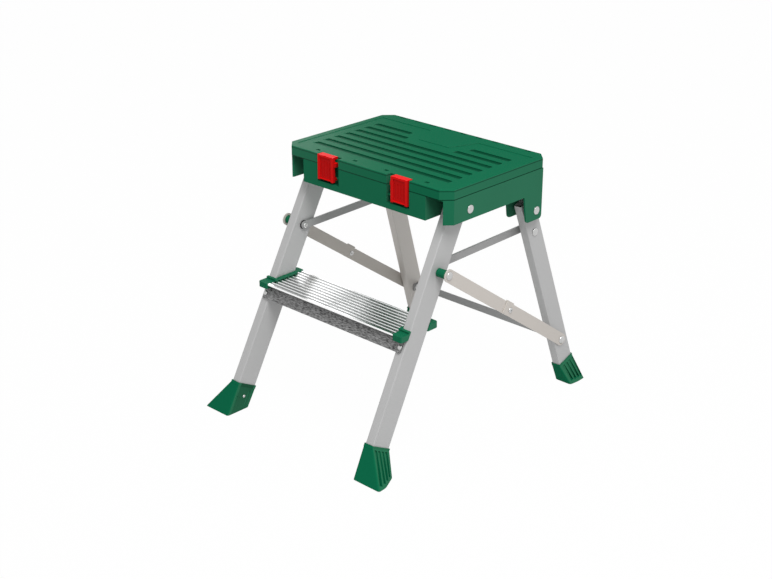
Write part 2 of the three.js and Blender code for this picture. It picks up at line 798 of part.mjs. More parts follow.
// The cheek is thick from the mouth of the leg slot back past the front pivot, then a thin wall.
function sidePieces() {
  const [mouthX, mouthY] = [halfWidth - slotMouth, platformChamfer - slotMouth];
  const inset = shellWall / Math.SQRT2;
  const cheek = [
    [mouthX, mouthY], [halfWidth, cheekFront], [halfWidth, cheekRearBack],
    [cheekInside, cheekRearBack], [cheekInside, cheekPadRear], [mouthX - inset, cheekPadRear],
    [mouthX - inset, mouthY + inset],
  ];
  const deckInside = binHalf - shellWall / 2;
  const deckLow = deckTop - deckThickness;
  const deck = [
    [deckInside, mouthY], [mouthX, mouthY], [halfWidth, cheekFront],
    [halfWidth, cheekRearBack], [deckInside, cheekRearBack],
  ];
  const apron = block(
    [deckInside, halfWidth],
    [cheekRearBack - shellWall, cheekRearBack],
    [deckTop - apronDepth, deckTop],
  );
  const clevisInside = clevisOutside - shellWall;
  const clevisBlock = block(
    [deckInside, clevisOutside - gap],
    [tabFront + gap, binRearBack],
    [binFloor, deckTop],
  );
  const reachOut = (pivot, leg) => leg.outsideFace(pivot[1], bossRadius) + gap;
  const reachIn = (pivot, leg) => leg.insideFace(pivot[1], innerBossRadius) - gap;
  return [
    prism('z', cheek, cheekLow, deckTop),
    prism('z', deck, deckLow, deckTop),
    apron,
    clevisBlock,
    prism('x', earOutline(deckLow), cheekInside, halfWidth),
    prism('x', earOutline(deckLow), clevisInside, clevisOutside),
    rod(frontPivot, bossRadius, reachOut(frontPivot, frontLeg), cheekInside + shellWall / 2),
    rod(frontPivot, innerBossRadius, deckInside, reachIn(frontPivot, frontLeg)),
    rod(rearPivot, bossRadius, reachOut(rearPivot, rearLeg), cheekInside + shellWall / 2),
    rod(rearPivot, innerBossRadius, clevisInside + shellWall / 2, reachIn(rearPivot, rearLeg)),
  ];
}

// The lid's hinge: ears on the tray and on the lid take turns along three pins behind the bin.
const hingeBack = 261;
const hingeDrop = 24;
const hingeSpacing = 113;
const hingeRadius = 4.4;
const hingePinRadius = 2;
const lidEarHalf = 14;
const trayEarWidth = 6;
const hinge = [hingeBack, platformHeight - hingeDrop];
const hingePlaces = [-hingeSpacing, 0, hingeSpacing];
const trayEarEnd = lidEarHalf + gap + trayEarWidth;

function hingeRoom(middle) {
  const reach = trayEarEnd + overrun;
  return rod(hinge, hingePinRadius + runningGap, middle - reach, middle + reach);
}

function trayEars(middle) {
  return [-1, 1].map((side) => {
    const ends = ordered(middle + side * (lidEarHalf + gap), middle + side * trayEarEnd);
    const arm = block(
      ends,
      [binRearBack - shellWall / 2, hingeBack],
      [hinge[1] - hingeRadius, hinge[1] + hingeRadius],
    );
    return join(arm, rod(hinge, hingeRadius, ...ends));
  });
}

// Keepers in the latch recesses hold the latches' lugs down once the latches slide inwards.
// They stand behind the latches' face plates.
const latchBack = 3.6;
const keeperReach = 8;
const keeperHeight = 3;
const keeperRise = 23;
const keeperFront = latchBack + runningGap;

function keeper(side) {
  const sides = ordered(side * (recessStart - shellWall / 2), side * (recessStart + keeperReach));
  const low = binFloor + keeperRise;
  return block(sides, [keeperFront, recessDepth + shellWall / 2], [low, low + keeperHeight]);
}

function addTray() {
  const sides = sidePieces();
  const ears = hingePlaces.flatMap(trayEars);
  const body = join(binBody(), ...sides, ...sides.map(mirrorX), ...ears, keeper(1), keeper(-1));
  const pivotRooms = [frontPivot, rearPivot].flatMap((pivot) => [
    rod(pivot, boreRadius, binHalf - binInset / 2, halfWidth + overrun),
    rod(pivot, boreRadius, -halfWidth - overrun, binInset / 2 - binHalf),
  ]);
  const tray = cut(body, ...pivotRooms, ...hingePlaces.map(hingeRoom));
  addPiece(assembly, 'storage_box', tray, finishes.green);
}
addTray();

// Pivot pins: a flat head outside the cheek, a shank through the leg, and a tail behind the inner wall.
function addPivot(name, pivot, wallInside) {
  const start = wallInside - gap;
  const pin = turnedPin({
    shank: boltRadius,
    length: halfWidth + gap - start,
    head: pivotHead,
    headHeight: pivotHeadHeight,
    tail: innerHead + gap,
    tailHeight: innerHeadHeight,
  });
  addPair(name, pin, finishes.steel, [start, ...pivot]);
}
addPivot('front_pivot', frontPivot, binHalf - shellWall);
addPivot('rear_pivot', rearPivot, clevisOutside - shellWall);

const hingePin = rod([0, 0], hingePinRadius, -trayEarEnd, trayEarEnd);
addPiece(assembly, 'lid_hinge_pin_middle', hingePin, finishes.steel, [0, ...hinge]);
addPair('lid_hinge_pin', hingePin, finishes.steel, [hingeSpacing, ...hinge]);

// The lid: an octagonal cover, ribbed underneath, with a sunken field, grooves and latch notches.
const lidPlate = 4;
const fieldDrop = 0.8;
const rimWidth = 13.5;
const fieldFront = 11.3;
const fieldCorner = 10;
const fieldRear = 242;
const tongueFront = 185;
const tongueHalf = 36;
const tongueRootHalf = 58;
const grooveCount = 7;
const grooveStart = 48;
const groovePitch = 26.2;
const grooveWidth = 8;
const grooveDepth = 1.8;
const grooveInset = 33;
const splitNear = 58;
const splitFar = 72;
const ribWidth = 2;
const lidCellsX = 7;
const lidCellsY = 5;
const notchDepth = 11.6;
const notchLow = 8;
const latchTop = 4;

// An inset outline's chamfers shrink by this share of the inset.
const chamferShare = 2 - Math.SQRT2;

function octagon(inset) {
  const half = halfWidth - inset;
  const cutBack = platformChamfer - inset * chamferShare;
  const [near, far] = [inset, platformDepth - inset];
  return [
    [-half, near + cutBack], [cutBack - half, near], [half - cutBack, near], [half, near + cutBack],
    [half, far - cutBack], [half - cutBack, far], [cutBack - half, far], [-half, far - cutBack],
  ];
}

function lidField() {
  const half = halfWidth - rimWidth;
  return [
    [fieldCorner - half, fieldFront], [half - fieldCorner, fieldFront], [half, fieldFront + fieldCorner],
    [half, fieldRear], [tongueRootHalf, fieldRear], [tongueHalf, tongueFront],
    [-tongueHalf, tongueFront], [-tongueRootHalf, fieldRear], [-half, fieldRear],
    [-half, fieldFront + fieldCorner],
  ];
}

function grooves() {
  const end = halfWidth - grooveInset;
  const floor = platformHeight - fieldDrop - grooveDepth;
  const stadium = (x0, x1, y) => {
    const [y0, y1, round] = [y - grooveWidth / 2, y + grooveWidth / 2, grooveWidth / 2];
    const corners = [[x0, y0, round], [x1, y0, round], [x1, y1, round], [x0, y1, round]];
    return prism('z', corners, floor, platformHeight + overrun);
  };
  const places = Array.from({ length: grooveCount }, (_, i) => grooveStart + i * groovePitch);
  const [near, far] = places.slice(-2);
  const whole = places.slice(0, -2).map((y) => stadium(-end, end, y));
  const split = [[near, splitNear], [far, splitFar]].flatMap(([y, inner]) => [
    stadium(-end, -inner, y), stadium(inner, end, y),
  ]);
  return [...whole, ...split];
}

// Hollow cells under the lid, between ribs, clear of the solid blocks behind the latch notches.
function lidCells() {
  const ceiling = platformHeight - lidPlate;
  const left = shellWall - halfWidth;
  const front = notchDepth + shellWall + ribWidth;
  const stepX = (-2 * left + ribWidth) / lidCellsX;
  const stepY = (platformDepth - shellWall - front + ribWidth) / lidCellsY;
  const heights = [seam - overrun, ceiling];
  const cells = [];
  for (let i = 0; i < lidCellsX; i += 1) {
    for (let k = 0; k < lidCellsY; k += 1) {
      const [x, y] = [left + i * stepX, front + k * stepY];
      cells.push(block([x, x + stepX - ribWidth], [y, y + stepY - ribWidth], heights));
    }
  }
  const clearStart = recessStart - shellWall;
  const clearEnd = recessEnd + shellWall;
  const frontRow = [[left, -clearEnd], [-clearStart, clearStart], [clearEnd, -left]];
  frontRow.forEach((span) => cells.push(block(span, [shellWall, front - ribWidth], heights)));
  return common(join(...cells), prism('z', octagon(shellWall), seam - overrun, platformHeight));
}

function lidEar(middle) {
  const ends = [middle - lidEarHalf, middle + lidEarHalf];
  const arm = block(
    ends,
    [hingeBack - hingeRadius, hingeBack + hingeRadius],
    [hinge[1], platformHeight - lidPlate / 2],
  );
  return join(arm, rod(hinge, hingeRadius, ...ends));
}

function addLid() {
  const notches = [-1, 1].flatMap((side) => {
    const sides = ordered(side * recessStart, side * recessEnd);
    const shelf = platformHeight - latchTop - gap;
    return [
      block(sides, [-overrun, notchDepth], [shelf, platformHeight + overrun]),
      block(sides, [-overrun, notchLow], [seam - overrun, platformHeight]),
    ];
  });
  const cover = prism('z', octagon(0), seam, platformHeight);
  const field = prism('z', lidField(), platformHeight - fieldDrop, platformHeight + overrun);
  const shell = cut(cover, lidCells(), field, ...grooves(), ...notches);
  const body = join(shell, ...hingePlaces.map(lidEar));
  addPiece(assembly, 'lid', cut(body, ...hingePlaces.map(hingeRoom)), finishes.green);
}
addLid();

// Latches: red plates that slide on the lid; inwards, their lugs pass under the tray's keepers.
const latchWidth = 38;
const latchHeight = 46;
const latchProud = 2.5;
const latchFlange = 11;
const latchEndGap = 2.4;
const latchRail = 5.2;
const latchPanelDrop = 3.5;
const latchPanelDepth = 1.5;
const latchBar = 3.5;
const latchNotch = 1.5;
const latchGrooves = 4;
const latchGroovePitch = 6.8;
const latchGrooveWidth = 2.4;
const latchGrooveDepth = 0.7;
const latchGrooveDrop = 10.5;
const latchGrooveLift = 6.5;
const sliderDrop = 10;
const sliderHeight = 7.2;
const nubReach = 3.8;
const lugWidth = 12;
const lugHeight = 4;
const lugBack = 9;

function addLatches() {
  const outer = recessEnd - latchEndGap;
  const inner = outer - latchWidth;
  const sides = [inner, outer];
  const low = platformHeight - latchHeight;
  const plate = block(sides, [-latchProud, latchBack], [low, platformHeight]);
  const flange = block(sides, [-latchProud, latchFlange], [platformHeight - latchTop, platformHeight]);
  const sliderTop = platformHeight - sliderDrop;
  const sliderHeights = [sliderTop - sliderHeight, sliderTop];
  const slider = block([inner - nubReach, outer], [0, notchLow - gap], sliderHeights);
  const lugTop = binFloor + keeperRise - gap;
  const lug = block([inner, inner + lugWidth], [0, lugBack], [lugTop - lugHeight, lugTop]);
  const panelSides = [inner + latchRail, outer - latchRail];
  const face = -latchProud + latchPanelDepth;
  const panel = block(panelSides, [-overrun, face], [low + latchBar, platformHeight - latchPanelDrop]);
  const notch = block(panelSides, [-overrun, latchBack + overrun], [low - overrun, low + latchNotch]);
  const [grooveLow, grooveTop] = [low + latchGrooveLift, platformHeight - latchGrooveDrop];
  const half = latchGrooveWidth / 2;
  const lines = Array.from({ length: latchGrooves }, (_, i) => {
    const x = (inner + outer) / 2 + (i - (latchGrooves - 1) / 2) * latchGroovePitch;
    const line = [[grooveLow, x - half, half], [grooveTop, x - half, half], [grooveTop, x + half, half]];
    return prism('y', [...line, [grooveLow, x + half, half]], -overrun, face + latchGrooveDepth);
  });
  addPair('latch', cut(join(plate, flange, slider, lug), panel, notch, ...lines), finishes.red);
}
addLatches();

// The origin is on the floor, midway between the front and the rear of the feet.
const frontReach = frontLeg.centreY(0) + frontSole.front;
const rearReach = rearLeg.centreY(0) + rearSole.rear;
assembly.position.y = -(frontReach + rearReach) / 2;

const stool = new THREE.Group();
stool.add(assembly);
export default stool;
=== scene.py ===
# Folding step stool: aluminium legs and tread, a green moulded platform with a tray under its lid.
import json
import math

import bpy
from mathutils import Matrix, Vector

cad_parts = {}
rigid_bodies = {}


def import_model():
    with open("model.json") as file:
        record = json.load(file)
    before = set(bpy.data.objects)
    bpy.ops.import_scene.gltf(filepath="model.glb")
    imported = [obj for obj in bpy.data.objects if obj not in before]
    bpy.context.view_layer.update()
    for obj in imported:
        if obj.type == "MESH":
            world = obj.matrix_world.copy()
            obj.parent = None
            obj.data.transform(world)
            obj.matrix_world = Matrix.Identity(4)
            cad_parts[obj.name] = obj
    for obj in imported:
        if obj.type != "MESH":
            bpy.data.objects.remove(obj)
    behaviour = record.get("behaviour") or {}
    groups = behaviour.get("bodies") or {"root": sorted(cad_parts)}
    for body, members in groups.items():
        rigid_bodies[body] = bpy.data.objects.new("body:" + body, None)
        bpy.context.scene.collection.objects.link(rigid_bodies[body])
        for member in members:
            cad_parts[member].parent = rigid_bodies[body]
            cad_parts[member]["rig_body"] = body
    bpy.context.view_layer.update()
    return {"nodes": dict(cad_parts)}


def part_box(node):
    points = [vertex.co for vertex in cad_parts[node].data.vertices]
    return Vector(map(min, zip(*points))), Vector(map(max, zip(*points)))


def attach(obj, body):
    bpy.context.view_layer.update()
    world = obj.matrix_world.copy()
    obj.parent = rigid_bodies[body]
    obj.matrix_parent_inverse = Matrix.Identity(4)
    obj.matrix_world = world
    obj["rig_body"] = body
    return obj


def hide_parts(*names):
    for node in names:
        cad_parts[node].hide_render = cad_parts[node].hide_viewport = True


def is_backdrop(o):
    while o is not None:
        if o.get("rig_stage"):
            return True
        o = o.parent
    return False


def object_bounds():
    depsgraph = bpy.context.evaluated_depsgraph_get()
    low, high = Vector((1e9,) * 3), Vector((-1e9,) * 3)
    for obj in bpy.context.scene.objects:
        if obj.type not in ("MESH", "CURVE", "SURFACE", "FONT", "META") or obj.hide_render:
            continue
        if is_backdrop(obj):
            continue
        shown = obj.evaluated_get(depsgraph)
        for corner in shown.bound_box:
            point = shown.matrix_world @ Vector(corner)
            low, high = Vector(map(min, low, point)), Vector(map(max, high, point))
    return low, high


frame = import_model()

MM = 0.001
SIDES = {"left": -1, "right": 1}

# The camera stands a little above the platform, in front and to the right, with no roll.
# Its aim and distance are measured from the middle of the platform's front edge, on the floor.
PHOTO_WIDTH = 772
FOCAL_PIXELS = 1405.4
SENSOR = 36.0
VIEW_AZIMUTH = math.radians(43.571)
VIEW_ELEVATION = math.radians(23.256)
VIEW_DISTANCE = 2571.7 * MM
AIM_FROM_FRONT_EDGE = Vector((-14.31, 74.93, 213.14)) * MM


def from_the_stool(azimuth, elevation):
    """The direction from the stool to a place round it; azimuth 0 is straight in front."""
    level = math.cos(elevation)
    return Vector((math.sin(azimuth) * level, -math.cos(azimuth) * level, math.sin(elevation)))


aim = AIM_FROM_FRONT_EDGE + Vector((0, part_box("lid")[0].y, 0))
lens = bpy.data.cameras.new("camera")
lens.sensor_width = SENSOR
lens.sensor_fit = "HORIZONTAL"
lens.lens = FOCAL_PIXELS / PHOTO_WIDTH * SENSOR
camera = bpy.data.objects.new("camera", lens)
camera.location = aim + from_the_stool(VIEW_AZIMUTH, VIEW_ELEVATION) * VIEW_DISTANCE
camera.rotation_euler = (math.pi / 2 - VIEW_ELEVATION, 0, VIEW_AZIMUTH)
bpy.context.scene.collection.objects.link(camera)
bpy.context.scene.camera = camera
bpy.context.scene.view_settings.view_transform = "Standard"

# The studio: a pale floor and sky that read as white, a high soft key light to the right of the
# camera, and a weak small softbox behind the left side, whose sheen lies on the tread.
FLOOR_SIZE = 14.0
FLOOR_GREY = (0.75, 0.75, 0.75, 1)
FLOOR_GLOW = 0.985
SKY_LIGHT = 0.46
WHITE = (1, 1, 1, 1)
MIX_COLOURS = (6, 7)
MIX_RESULT = 2


class Wire:
    """A node's output that takes part in Python sums and adds the nodes that work them out."""

    def __init__(self, finish, socket):
        self.finish = finish
        self.socket = socket

    def maths(self, operation, *values):
        """The result of a Math node that works on the given values."""
        return self.finish.node("ShaderNodeMath", {"operation": operation}, *values)

    def __add__(self, other):
        return self.maths("ADD", self, other)

    def __sub__(self, other):
        return self.maths("SUBTRACT", self, other)

    def __mul__(self, other):
        return self.maths("MULTIPLY", self, other)

    def __rsub__(self, other):
        return self.maths("SUBTRACT", other, self)

    def __gt__(self, other):
        return self.maths("GREATER_THAN", self, other)

    def __lt__(self, other):
        return self.maths("LESS_THAN", self, other)

    def soft_step(self, low, high):
        """0 below the low value and 1 above the high one, with a smooth rise between them."""
        settings = {"interpolation_type": "SMOOTHSTEP"}
        return self.finish.node("ShaderNodeMapRange", settings, self, low, high, 0.0, 1.0)


class Finish:
    """A node material. One method adds every node, sets it up and fills its inputs."""

    def __init__(self, name, tree=None):
        if tree is None:
            self.material = bpy.data.materials.new(name)
            self.material.use_nodes = True
            tree = self.material.node_tree
            self.shader = tree.nodes["Principled BSDF"]
        self.tree = tree

    def node(self, kind, settings, *values, output=0, **named):
        """Adds a node, fills its inputs by number or by name, and gives back one of its outputs."""
        made = self.tree.nodes.new(kind)
        for key, value in settings.items():
            setattr(made, key, value)
        for key, value in list(enumerate(values)) + list(named.items()):
            self.fill(made.inputs[key], value)
        return Wire(self, made.outputs[output])

    def fill(self, socket, value):
        """Links a wire to the socket, or sets the socket to a constant."""
        if isinstance(value, Wire):
            self.tree.links.new(value.socket, socket)
        else:
            socket.default_value = value

    def set(self, **values):
        """Fills the shader's inputs; an underscore stands for a space in an input's name."""
        for key, value in values.items():
            self.fill(self.shader.inputs[key.replace("_", " ")], value)

    def tint(self, colour, level):
        """A colour made lighter or darker by a level round 1."""
        scaled = self.node("ShaderNodeVectorMath", {"operation": "SCALE"}, colour)
        self.fill(scaled.socket.node.inputs["Scale"], level)
        return scaled

    def blend(self, share, first, second):
        """The first colour where the share is 0, the second where it is 1."""
        settings = {"data_type": "RGBA", "clamp_factor": True}
        mixed = self.node("ShaderNodeMix", settings, share).socket.node
        for number, colour in zip(MIX_COLOURS, (first, second)):
            self.fill(mixed.inputs[number], colour if isinstance(colour, Wire) else (*colour, 1))
        return Wire(self, mixed.outputs[MIX_RESULT])

    def place(self):
        """Where a point lies in the piece's own coordinates."""
        return self.node("ShaderNodeTexCoord", {}, output="Object")

    def noise(self, place, scale, detail=2.0):
        return self.node("ShaderNodeTexNoise", {}, Vector=place, Scale=scale, Detail=detail)

    def seen_directly(self):
        """1 for camera, mirror and glass rays, 0 for the rays that light the stool."""
        path = self.tree.nodes.new("ShaderNodeLightPath")
        names = ("Is Camera Ray", "Is Glossy Ray", "Is Transmission Ray")
        camera_ray, mirror_ray, glass_ray = (Wire(self, path.outputs[name]) for name in names)
        seen = camera_ray + mirror_ray + glass_ray
        return seen.maths("MINIMUM", seen, 1.0)


def lay_floor():
    """A wide plane that looks white to the camera and in mirrors, and still holds a faint shadow."""
    finish = Finish("studio_white")
    finish.set(Base_Color=FLOOR_GREY, Roughness=0.9, Specular_IOR_Level=0.0)
    glow = finish.node("ShaderNodeEmission", {}, Color=WHITE, Strength=1.0)
    shader = Wire(finish, finish.shader.outputs["BSDF"])
    share = finish.seen_directly() * FLOOR_GLOW
    mixed = finish.node("ShaderNodeMixShader", {}, share, shader, glow)
    finish.tree.links.new(mixed.socket, finish.tree.nodes["Material Output"].inputs["Surface"])
    bpy.ops.mesh.primitive_plane_add(size=FLOOR_SIZE, location=(0, 0, 0))
    floor = bpy.context.object
    floor.name = "floor"
    floor.data.materials.append(finish.material)
    floor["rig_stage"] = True


def hang_sky():
    """A white sky that lights the stool with less than it shows."""
    world = bpy.data.worlds.new("sky")
    world.use_nodes = True
    sky = Finish("sky", world.node_tree)
    seen = sky.seen_directly()
    strength = seen.maths("MAXIMUM", seen, SKY_LIGHT)
    background = world.node_tree.nodes["Background"]
    sky.fill(background.inputs["Color"], WHITE)
    sky.fill(background.inputs["Strength"], strength)
    bpy.context.scene.world = world


def soft_light(name, azimuth, elevation, distance, width, height, watts):
    """A softbox that faces the stool; its angles are in degrees."""
    lamp = bpy.data.lights.new(name, "AREA")
    lamp.shape = "RECTANGLE"
    lamp.size = width
    lamp.size_y = height
    lamp.energy = watts
    lit = bpy.data.objects.new(name, lamp)
    direction = from_the_stool(math.radians(azimuth), math.radians(elevation))
    lit.location = aim + direction * distance
    lit.rotation_euler = direction.to_track_quat("Z", "Y").to_euler()
    bpy.context.scene.collection.objects.link(lit)


lay_floor()
hang_sky()
soft_light("key_light", azimuth=62, elevation=57, distance=2.8, width=1.3, height=1.3, watts=56)
soft_light("sheen_light", azimuth=-127, elevation=26, distance=1.6, width=0.24, height=0.4, watts=0.55)

# The leg tubes are drawn rectangular aluminium, anodised to a pale satin grey. The rear left one is
# painted a little paler and warmer, a painted fill light on a leg that lies in shade. Each is the bored tube
# of the frame with its cut ends deburred.
FRONT_LEAN = math.radians(27.77)
REAR_LEAN = math.radians(-18.38)
LEG_DEBURR = 0.3 * MM
LEG_GREY = (0.475, 0.475, 0.475)
LEG_PAINTED_FILL_WARM = (0.62, 0.587, 0.555)
SAME_POINT = 0.02 * MM
SAME_PLANE = math.radians(1)
DRAWN_LINES = (900, 900, 9)
DRAWN_DEPTH = 0.02 * MM
DRAWN_SPREAD = 0.12
DULL_CLOUDS = 14.0
CLOUD_SHADE = 0.05


def alone(piece):
    """Makes the piece the only one that is selected, and the active one."""
    bpy.ops.object.select_all(action="DESELECT")
    piece.select_set(True)
    bpy.context.view_layer.objects.active = piece


def merge_faces(piece):
    """Joins the points that fall together and makes every flat face one face."""
    alone(piece)
    bpy.ops.object.mode_set(mode="EDIT")
    bpy.ops.mesh.select_all(action="SELECT")
    bpy.ops.mesh.remove_doubles(threshold=SAME_POINT)
    bpy.ops.mesh.dissolve_limited(angle_limit=SAME_PLANE)
    bpy.ops.mesh.normals_make_consistent(inside=False)
    bpy.ops.object.mode_set(mode="OBJECT")


def merged_copy(node):
    """A copy of a frame piece as one surface, with every flat face whole."""
    piece = bpy.data.objects.new(node + "_finished", frame["nodes"][node].data.copy())
    bpy.context.scene.collection.objects.link(piece)
    piece.data.materials.clear()
    merge_faces(piece)
    return piece


def smooth(piece, angle=40):
    """Shades the piece smooth, apart from edges sharper than the angle, and keeps flat faces flat."""
    alone(piece)
    bpy.ops.object.shade_smooth_by_angle(angle=math.radians(angle))
    weighted = piece.modifiers.new("flat faces", "WEIGHTED_NORMAL")
    weighted.keep_sharp = True
    bpy.ops.object.modifier_apply(modifier=weighted.name)


def soften(piece, width, segments=2, angle=30, smooth_angle=40):
    """Rounds every edge that is sharper than the angle."""
    alone(piece)
    bevel = piece.modifiers.new("edges", "BEVEL")
    bevel.width = width
    bevel.segments = segments
    bevel.limit_method = "ANGLE"
    bevel.angle_limit = math.radians(angle)
    bevel.use_clamp_overlap = True
    bpy.ops.object.modifier_apply(modifier=bevel.name)
    smooth(piece, smooth_angle)


def stands_for(piece, node, finish):
    """Gives the piece its finish and puts it in the place of a node of the frame."""
    piece.data.materials.append(finish.material)
    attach(piece, frame["nodes"][node]["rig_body"])
    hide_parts(node)


def dress(node, finish, width, segments=2, angle=30):
    """Finishes a frame piece as it is, with its edges softened."""
    piece = merged_copy(node)
    soften(piece, width, segments, angle)
    stands_for(piece, node, finish)


def drawn_metal(name, colour, roughness, metallic, turn, streak=0.05):
    """Drawn or rolled metal: fine lines along its length and a faint cloudy shade."""
    finish = Finish(name)
    place = finish.place()
    lengthwise = finish.node("ShaderNodeMapping", {}, Vector=place, Rotation=turn)
    lines = finish.node("ShaderNodeMapping", {}, Vector=lengthwise, Scale=DRAWN_LINES)
    grain = finish.noise(lines, 1.0, detail=4.0)
    cloud = finish.noise(place, DULL_CLOUDS)
    level = (grain - 0.5) * streak + (cloud - 0.5) * CLOUD_SHADE + 1.0
    bump = finish.node("ShaderNodeBump", {}, Height=grain, Distance=DRAWN_DEPTH, Strength=0.5)
    roughness = grain * DRAWN_SPREAD + (roughness - DRAWN_SPREAD / 2)
    finish.set(Base_Color=finish.tint(colour, level), Roughness=roughness)
    finish.set(Metallic=metallic, Normal=bump)
    return finish


for end, lean in (("front", FRONT_LEAN), ("rear", REAR_LEAN)):
    for side in SIDES:
        name = f"anodised_{end}_{side}"
        # The rear left leg gets the paler, warmer grey: painted fill light on a leg in shade.
        grey = LEG_PAINTED_FILL_WARM if (end, side) == ("rear", "left") else LEG_GREY
        anodised = drawn_metal(name, grey, roughness=0.45, metallic=0.15, turn=(lean, 0, 0))
        dress(f"{end}_leg_{side}", anodised, LEG_DEBURR, angle=60)

# The feet are green rubber-like mouldings, pushed over the tubes' ends and pinned there. They have
# four slots in the flared side and three shallow channels in the inner side.
FOOT_GREEN = (0.0035, 0.135, 0.062)
# A paler green painted on the feet's sideways faces: painted light.
FOOT_LIT_FLANKS = (0.028, 0.165, 0.085)
FOOT_EDGE = 0.9 * MM
FOOT_SLOT_RIM = 0.5 * MM
FOOT_SLOT_SHADED = 2 * MM
FOOT_SLOT_FLOOR = 5 * MM
FOOT_SLOT_MARGIN = 7 * MM
FOOT_SLOT_PAINTED_SHADE = 0.6
LOOKS_OUT = 0.5
CHANNELS = ((-17 * MM, 4 * MM), (9.5 * MM, 3.2 * MM), (17 * MM, 3.6 * MM))
CHANNEL_DEPTH = 1.6 * MM
CHANNEL_LOW = 6 * MM
CHANNEL_HIGH = 33 * MM
OVERRUN = 1 * MM
FINE_GRAIN = 2200.0
GRAIN_DEPTH = 0.03 * MM
GRAIN_SHADE = 0.08
WIDE_CLOUDS = 9.0
WIDE_CLOUD_SHADE = 0.14
MOULDED_SPREAD = 0.08
LOOKS_SIDEWAYS = (0.6, 0.9)
LOOKS_UP = (0.3, 0.8)


def moulded(name, colour, roughness, specular, grain=FINE_GRAIN, lit_flanks=None, lit_tops=None):
    """Injection moulded plastic: a fine spark-eroded grain and a faint cloudy shade.
    Faces that look sideways or up can be given a paler colour: painted light, for the lamps light those
    faces more."""
    finish = Finish(name)
    looks = finish.node("ShaderNodeTexCoord", {}, output="Normal")
    # Sideways faces are painted paler: painted light.
    if lit_flanks:
        across = finish.node("ShaderNodeSeparateXYZ", {}, looks, output=0)
        share = across.maths("ABSOLUTE", across).soft_step(*LOOKS_SIDEWAYS)
        colour = finish.blend(share, colour, lit_flanks)
    # Upward faces are painted another colour: painted light from above.
    if lit_tops:
        upward = finish.node("ShaderNodeSeparateXYZ", {}, looks, output=2)
        colour = finish.blend(upward.soft_step(*LOOKS_UP), colour, lit_tops)
    place = finish.place()
    cloud = finish.noise(place, WIDE_CLOUDS, detail=3.0)
    fine = finish.noise(place, grain)
    speck = finish.noise(place, grain / 4)
    level = (cloud - 0.5) * WIDE_CLOUD_SHADE + (speck - 0.5) * GRAIN_SHADE + 1.0
    bump = finish.node("ShaderNodeBump", {}, Height=fine, Distance=GRAIN_DEPTH, Strength=0.5)
    roughness = cloud * MOULDED_SPREAD + (roughness - MOULDED_SPREAD / 2)
    finish.base = finish.tint(colour, level)
    finish.set(Base_Color=finish.base, Roughness=roughness)
    finish.set(Normal=bump, Specular_IOR_Level=specular)
    return finish


def cutter_block(low, high):
    """A block between two corners, used only to cut a piece."""
    low, high = Vector(low), Vector(high)
    bpy.ops.mesh.primitive_cube_add(size=1, location=(low + high) / 2)
    block = bpy.context.object
    block.scale = high - low
    bpy.ops.object.transform_apply(location=True, rotation=True, scale=True)
    return block


def cut_away(piece, cutters):
    """Takes all the cutters' shapes out of the piece at once."""
    alone(cutters[0])
    for cutter in cutters:
        cutter.select_set(True)
    bpy.ops.object.join()
    tool = bpy.context.view_layer.objects.active
    alone(piece)
    recess = piece.modifiers.new("recess", "BOOLEAN")
    recess.object = tool
    recess.operation = "DIFFERENCE"
    recess.solver = "EXACT"
    recess.use_self = True
    bpy.ops.object.modifier_apply(modifier=recess.name)
    bpy.data.objects.remove(tool)
    merge_faces(piece)


def reach(node, direction):
    """How far a frame piece lies along a direction: its lowest and highest place."""
    places = [vertex.co.dot(direction) for vertex in frame["nodes"][node].data.vertices]
    return min(places), max(places)


def across_leg(lean):
    """The direction from a leg's front face to its back face."""
    return Vector((0, math.cos(lean), -math.sin(lean)))


def channel_cutters(end, side, lean):
    """Blocks that lie along the leg in the foot's inner face."""
    middle = sum(reach(f"{end}_leg_{side}", across_leg(lean))) / 2
    foot_low, foot_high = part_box(f"{end}_foot_{side}")
    inner = foot_low.x if side == "right" else foot_high.x
    cutters = []
    for offset, width in CHANNELS:
        ends = sorted((inner - SIDES[side] * OVERRUN, inner + SIDES[side] * CHANNEL_DEPTH))
        low = (ends[0], -width / 2, CHANNEL_LOW / math.cos(lean))
        high = (ends[1], width / 2, CHANNEL_HIGH / math.cos(lean))
        cutter = cutter_block(low, high)
        cutter.rotation_euler = (-lean, 0, 0)
        cutter.location = (0, (middle + offset) / math.cos(lean), 0)
        bpy.ops.object.transform_apply(location=True, rotation=True, scale=True)
        cutters.append(cutter)
    return cutters


def slotted_rubber(foot, end, side, lean):
    """The shoe's rubber, with painted shade inside the slots of its flared side."""
    name = f"rubber_{end}_{side}"
    finish = moulded(name, FOOT_GREEN, roughness=0.5, specular=0.02, lit_flanks=FOOT_LIT_FLANKS)
    flared = [face for face in foot.data.polygons if face.normal.x * SIDES[side] > LOOKS_OUT]
    outer = max(flared, key=lambda face: face.area)
    backwards = across_leg(lean)
    front, back = reach(f"{end}_foot_{side}", backwards)
    place = finish.place()
    project = {"operation": "DOT_PRODUCT"}
    level = finish.node("ShaderNodeVectorMath", project, place, outer.normal.copy(), output="Value")
    along = finish.node("ShaderNodeVectorMath", project, place, backwards, output="Value")
    depth = outer.center.dot(outer.normal) - level
    # Painted shade: the rubber is darkened inside the slots, where shade falls in the recesses.
    sunk = depth.soft_step(FOOT_SLOT_RIM, FOOT_SLOT_SHADED) * (depth < FOOT_SLOT_FLOOR)
    among_slots = (along > front + FOOT_SLOT_MARGIN) * (along < back - FOOT_SLOT_MARGIN)
    shade = 1 - sunk * among_slots * FOOT_SLOT_PAINTED_SHADE
    finish.set(Base_Color=finish.tint(finish.base, shade))
    return finish


for end, lean in (("front", FRONT_LEAN), ("rear", REAR_LEAN)):
    for side in SIDES:
        node = f"{end}_foot_{side}"
        foot = merged_copy(node)
        rubber = slotted_rubber(foot, end, side, lean)
        cut_away(foot, channel_cutters(end, side, lean))
        soften(foot, FOOT_EDGE, segments=3, angle=25)
        stands_for(foot, node, rubber)
